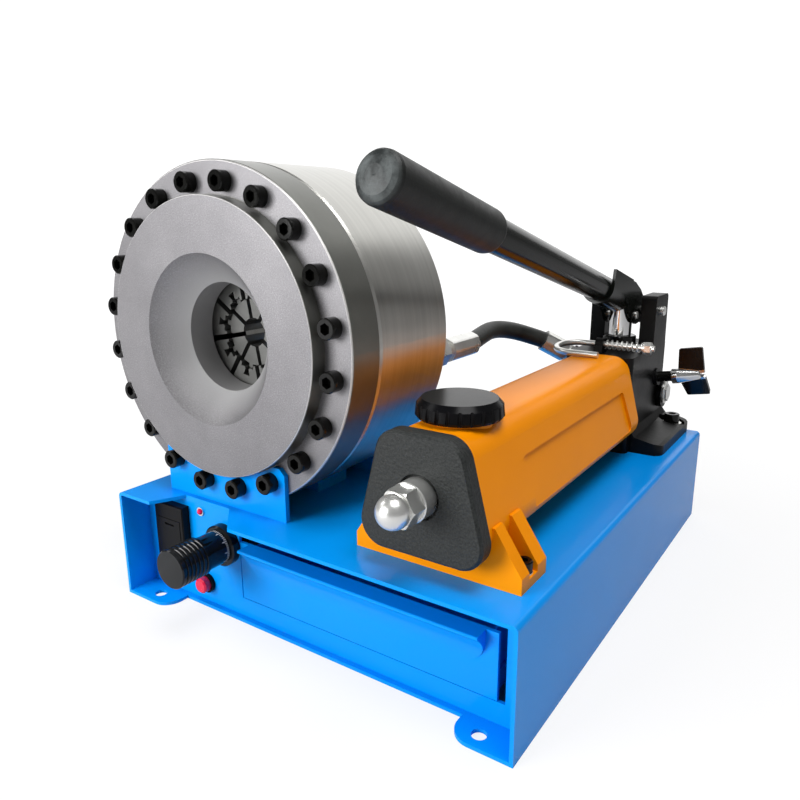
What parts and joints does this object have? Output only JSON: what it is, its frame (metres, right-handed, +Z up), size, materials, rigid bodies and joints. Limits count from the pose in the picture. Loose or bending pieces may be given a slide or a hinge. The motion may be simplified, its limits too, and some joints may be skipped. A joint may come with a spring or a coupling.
{
  "type": "hose crimping machine",
  "caption": "Bench hose crimping machine: a round crimp head with eight dies on a sheet-steel base with a drawer, worked by a lever hand pump through a short hose.",
  "frame": {"origin": "on the bench, at the centre of the rectangle of four mounting holes in the base's foot tabs", "axes": "+X to the right, +Y to the back, +Z up; the crimp opening, drawer and size dial face -Y"},
  "size_m": [0.436, 0.5111, 0.3806],
  "materials": {
    "blue_paint": "gloss",
    "flange_steel": "fine blasted",
    "cylinder_steel": "brushed",
    "die_steel": "ground",
    "black_oxide": "satin",
    "orange_paint": "gloss",
    "black_casting": "textured",
    "gloss_black": "gloss",
    "lever_paint": "satin",
    "grip_rubber": "matt",
    "zinc_plate": "bright",
    "polished_chrome": "polished",
    "hose_rubber": "matt",
    "seal_rubber": "matt",
    "dial_black": "black anodised",
    "cast_black": "cast skin",
    "red_button": "gloss",
    "red_lens": "gloss"
  },
  "bodies": {
    "machine": {"base_shell": "blue_paint", "battery_box": "gloss_black", "bracket_screws": "black_oxide", "button_switch": "gloss_black", "cylinder_body": "cylinder_steel", "dial_sleeve": "dial_black", "domed_nut": "zinc_plate", "drawer_runners": "blue_paint", "flange_screws": "black_oxide", "front_flange": "flange_steel", "front_panel": "blue_paint", "fulcrum_pin": "zinc_plate", "guide_sleeve": "cylinder_steel", "head_bracket_front": "blue_paint", "head_bracket_rear": "blue_paint", "head_cradle": "blue_paint", "head_ferrule": "zinc_plate", "head_fitting": "zinc_plate", "hook_spring": "zinc_plate", "hose": "hose_rubber", "mount_screws": "zinc_plate", "mount_washers": "zinc_plate", "nut_washers": "zinc_plate", "pilot_lamp": "red_lens", "plunger_gland": "polished_chrome", "pump_body": "cast_black", "pump_ferrule": "zinc_plate", "pump_fitting": "zinc_plate", "pump_tank": "orange_paint", "rear_panel": "blue_paint", "relief_plug": "zinc_plate", "tank_end_cap": "black_casting", "tie_rod": "zinc_plate"},
    "drawer": {"drawer_front": "blue_paint", "drawer_tray": "blue_paint"},
    "battery_drawer": {"battery_tray": "gloss_black"},
    "dial": {"dial_thimble": "dial_black"},
    "spindle": {"dial_spindle": "dial_black"},
    "button": {"push_button": "red_button"},
    "piston": {"annular_piston": "cylinder_steel", "piston_seal": "seal_rubber"},
    "plunger_rod": {"plunger": "polished_chrome"},
    "lever": {"lever_fork": "lever_paint", "lever_tube": "lever_paint", "lever_grip": "grip_rubber", "crosshead_pin": "zinc_plate"},
    "hook": {"hook_rod": "zinc_plate", "hook_nut": "zinc_plate"},
    "valve": {"valve_stem": "polished_chrome", "valve_knob": "gloss_black"},
    "filler": {"filler_cap": "gloss_black"},
    "die_set_1": {"die_1": "die_steel"},
    "die_set_2": {"die_2": "die_steel"},
    "die_set_3": {"die_3": "die_steel"},
    "die_set_4": {"die_4": "die_steel"},
    "die_set_5": {"die_5": "die_steel"},
    "die_set_6": {"die_6": "die_steel"},
    "die_set_7": {"die_7": "die_steel"},
    "die_set_8": {"die_8": "die_steel"}
  },
  "joints": [
    {"name": "drawer_slide", "type": "slide", "parent": "machine", "child": "drawer", "axis": [0, -1, 0], "range_m": [0, 0.2]},
    {"name": "battery_slide", "type": "slide", "parent": "machine", "child": "battery_drawer", "axis": [0, -1, 0], "range_m": [0, 0.025]},
    {"name": "dial_turn", "type": "hinge", "parent": "machine", "child": "dial", "pos_m": [-0.0912, -0.24, 0.0662], "axis": [0, -1, 0], "range_deg": [-1080, 1080]},
    {"name": "spindle_slide", "type": "slide", "parent": "machine", "child": "spindle", "axis": [0, -1, 0], "range_m": [-0.0031, 0.0031]},
    {"name": "button_press", "type": "slide", "parent": "machine", "child": "button", "axis": [0, 1, 0], "range_m": [0, 0.0025], "stiffness_N_per_m": 300, "springref_m": -0.003},
    {"name": "piston_slide", "type": "slide", "parent": "machine", "child": "piston", "axis": [0, -1, 0], "range_m": [-0.014, 0.012]},
    {"name": "lever_pivot", "type": "hinge", "parent": "machine", "child": "lever", "pos_m": [0.1147, 0.204, 0.237], "axis": [-1, 0, 0], "range_deg": [-14.5, 25]},
    {"name": "plunger_slide", "type": "slide", "parent": "machine", "child": "plunger_rod", "axis": [0, 0, 1], "range_m": [-0.0067, 0.0115]},
    {"name": "hook_swing", "type": "hinge", "parent": "machine", "child": "hook", "pos_m": [0.1147, 0.133, 0.2076], "axis": [-1, 0, 0], "range_deg": [0, 50]},
    {"name": "valve_turn", "type": "hinge", "parent": "machine", "child": "valve", "pos_m": [0.15955, 0.205, 0.16574], "axis": [0.9848, 0, 0.1736], "range_deg": [-90, 90]},
    {"name": "filler_turn", "type": "hinge", "parent": "machine", "child": "filler", "pos_m": [0.1147, -0.1703, 0.205], "axis": [0, 0, 1], "range_deg": [-360, 360]},
    {"name": "die_slide_1", "type": "slide", "parent": "machine", "child": "die_set_1", "axis": [-0.8348, 0, -0.5505], "range_m": [-0.0043, 0.0037]},
    {"name": "die_slide_2", "type": "slide", "parent": "machine", "child": "die_set_2", "axis": [-0.2011, 0, -0.9796], "range_m": [-0.0043, 0.0037]},
    {"name": "die_slide_3", "type": "slide", "parent": "machine", "child": "die_set_3", "axis": [0.5505, 0, -0.8348], "range_m": [-0.0043, 0.0037]},
    {"name": "die_slide_4", "type": "slide", "parent": "machine", "child": "die_set_4", "axis": [0.9796, 0, -0.2011], "range_m": [-0.0043, 0.0037]},
    {"name": "die_slide_5", "type": "slide", "parent": "machine", "child": "die_set_5", "axis": [0.8348, 0, 0.5505], "range_m": [-0.0043, 0.0037]},
    {"name": "die_slide_6", "type": "slide", "parent": "machine", "child": "die_set_6", "axis": [0.2011, 0, 0.9796], "range_m": [-0.0043, 0.0037]},
    {"name": "die_slide_7", "type": "slide", "parent": "machine", "child": "die_set_7", "axis": [-0.5505, 0, 0.8348], "range_m": [-0.0043, 0.0037]},
    {"name": "die_slide_8", "type": "slide", "parent": "machine", "child": "die_set_8", "axis": [-0.9796, 0, 0.2011], "range_m": [-0.0043, 0.0037]}
  ],
  "couplings": [
    {"joint": "plunger_slide", "follows": "lever_pivot", "m_per_rad": 0.026},
    {"joint": "spindle_slide", "follows": "dial_turn", "m_per_rad": 0.000159},
    {"joint": "die_slide_1", "follows": "piston_slide", "ratio": 0.3},
    {"joint": "die_slide_2", "follows": "piston_slide", "ratio": 0.3},
    {"joint": "die_slide_3", "follows": "piston_slide", "ratio": 0.3},
    {"joint": "die_slide_4", "follows": "piston_slide", "ratio": 0.3},
    {"joint": "die_slide_5", "follows": "piston_slide", "ratio": 0.3},
    {"joint": "die_slide_6", "follows": "piston_slide", "ratio": 0.3},
    {"joint": "die_slide_7", "follows": "piston_slide", "ratio": 0.3},
    {"joint": "die_slide_8", "follows": "piston_slide", "ratio": 0.3}
  ]
}
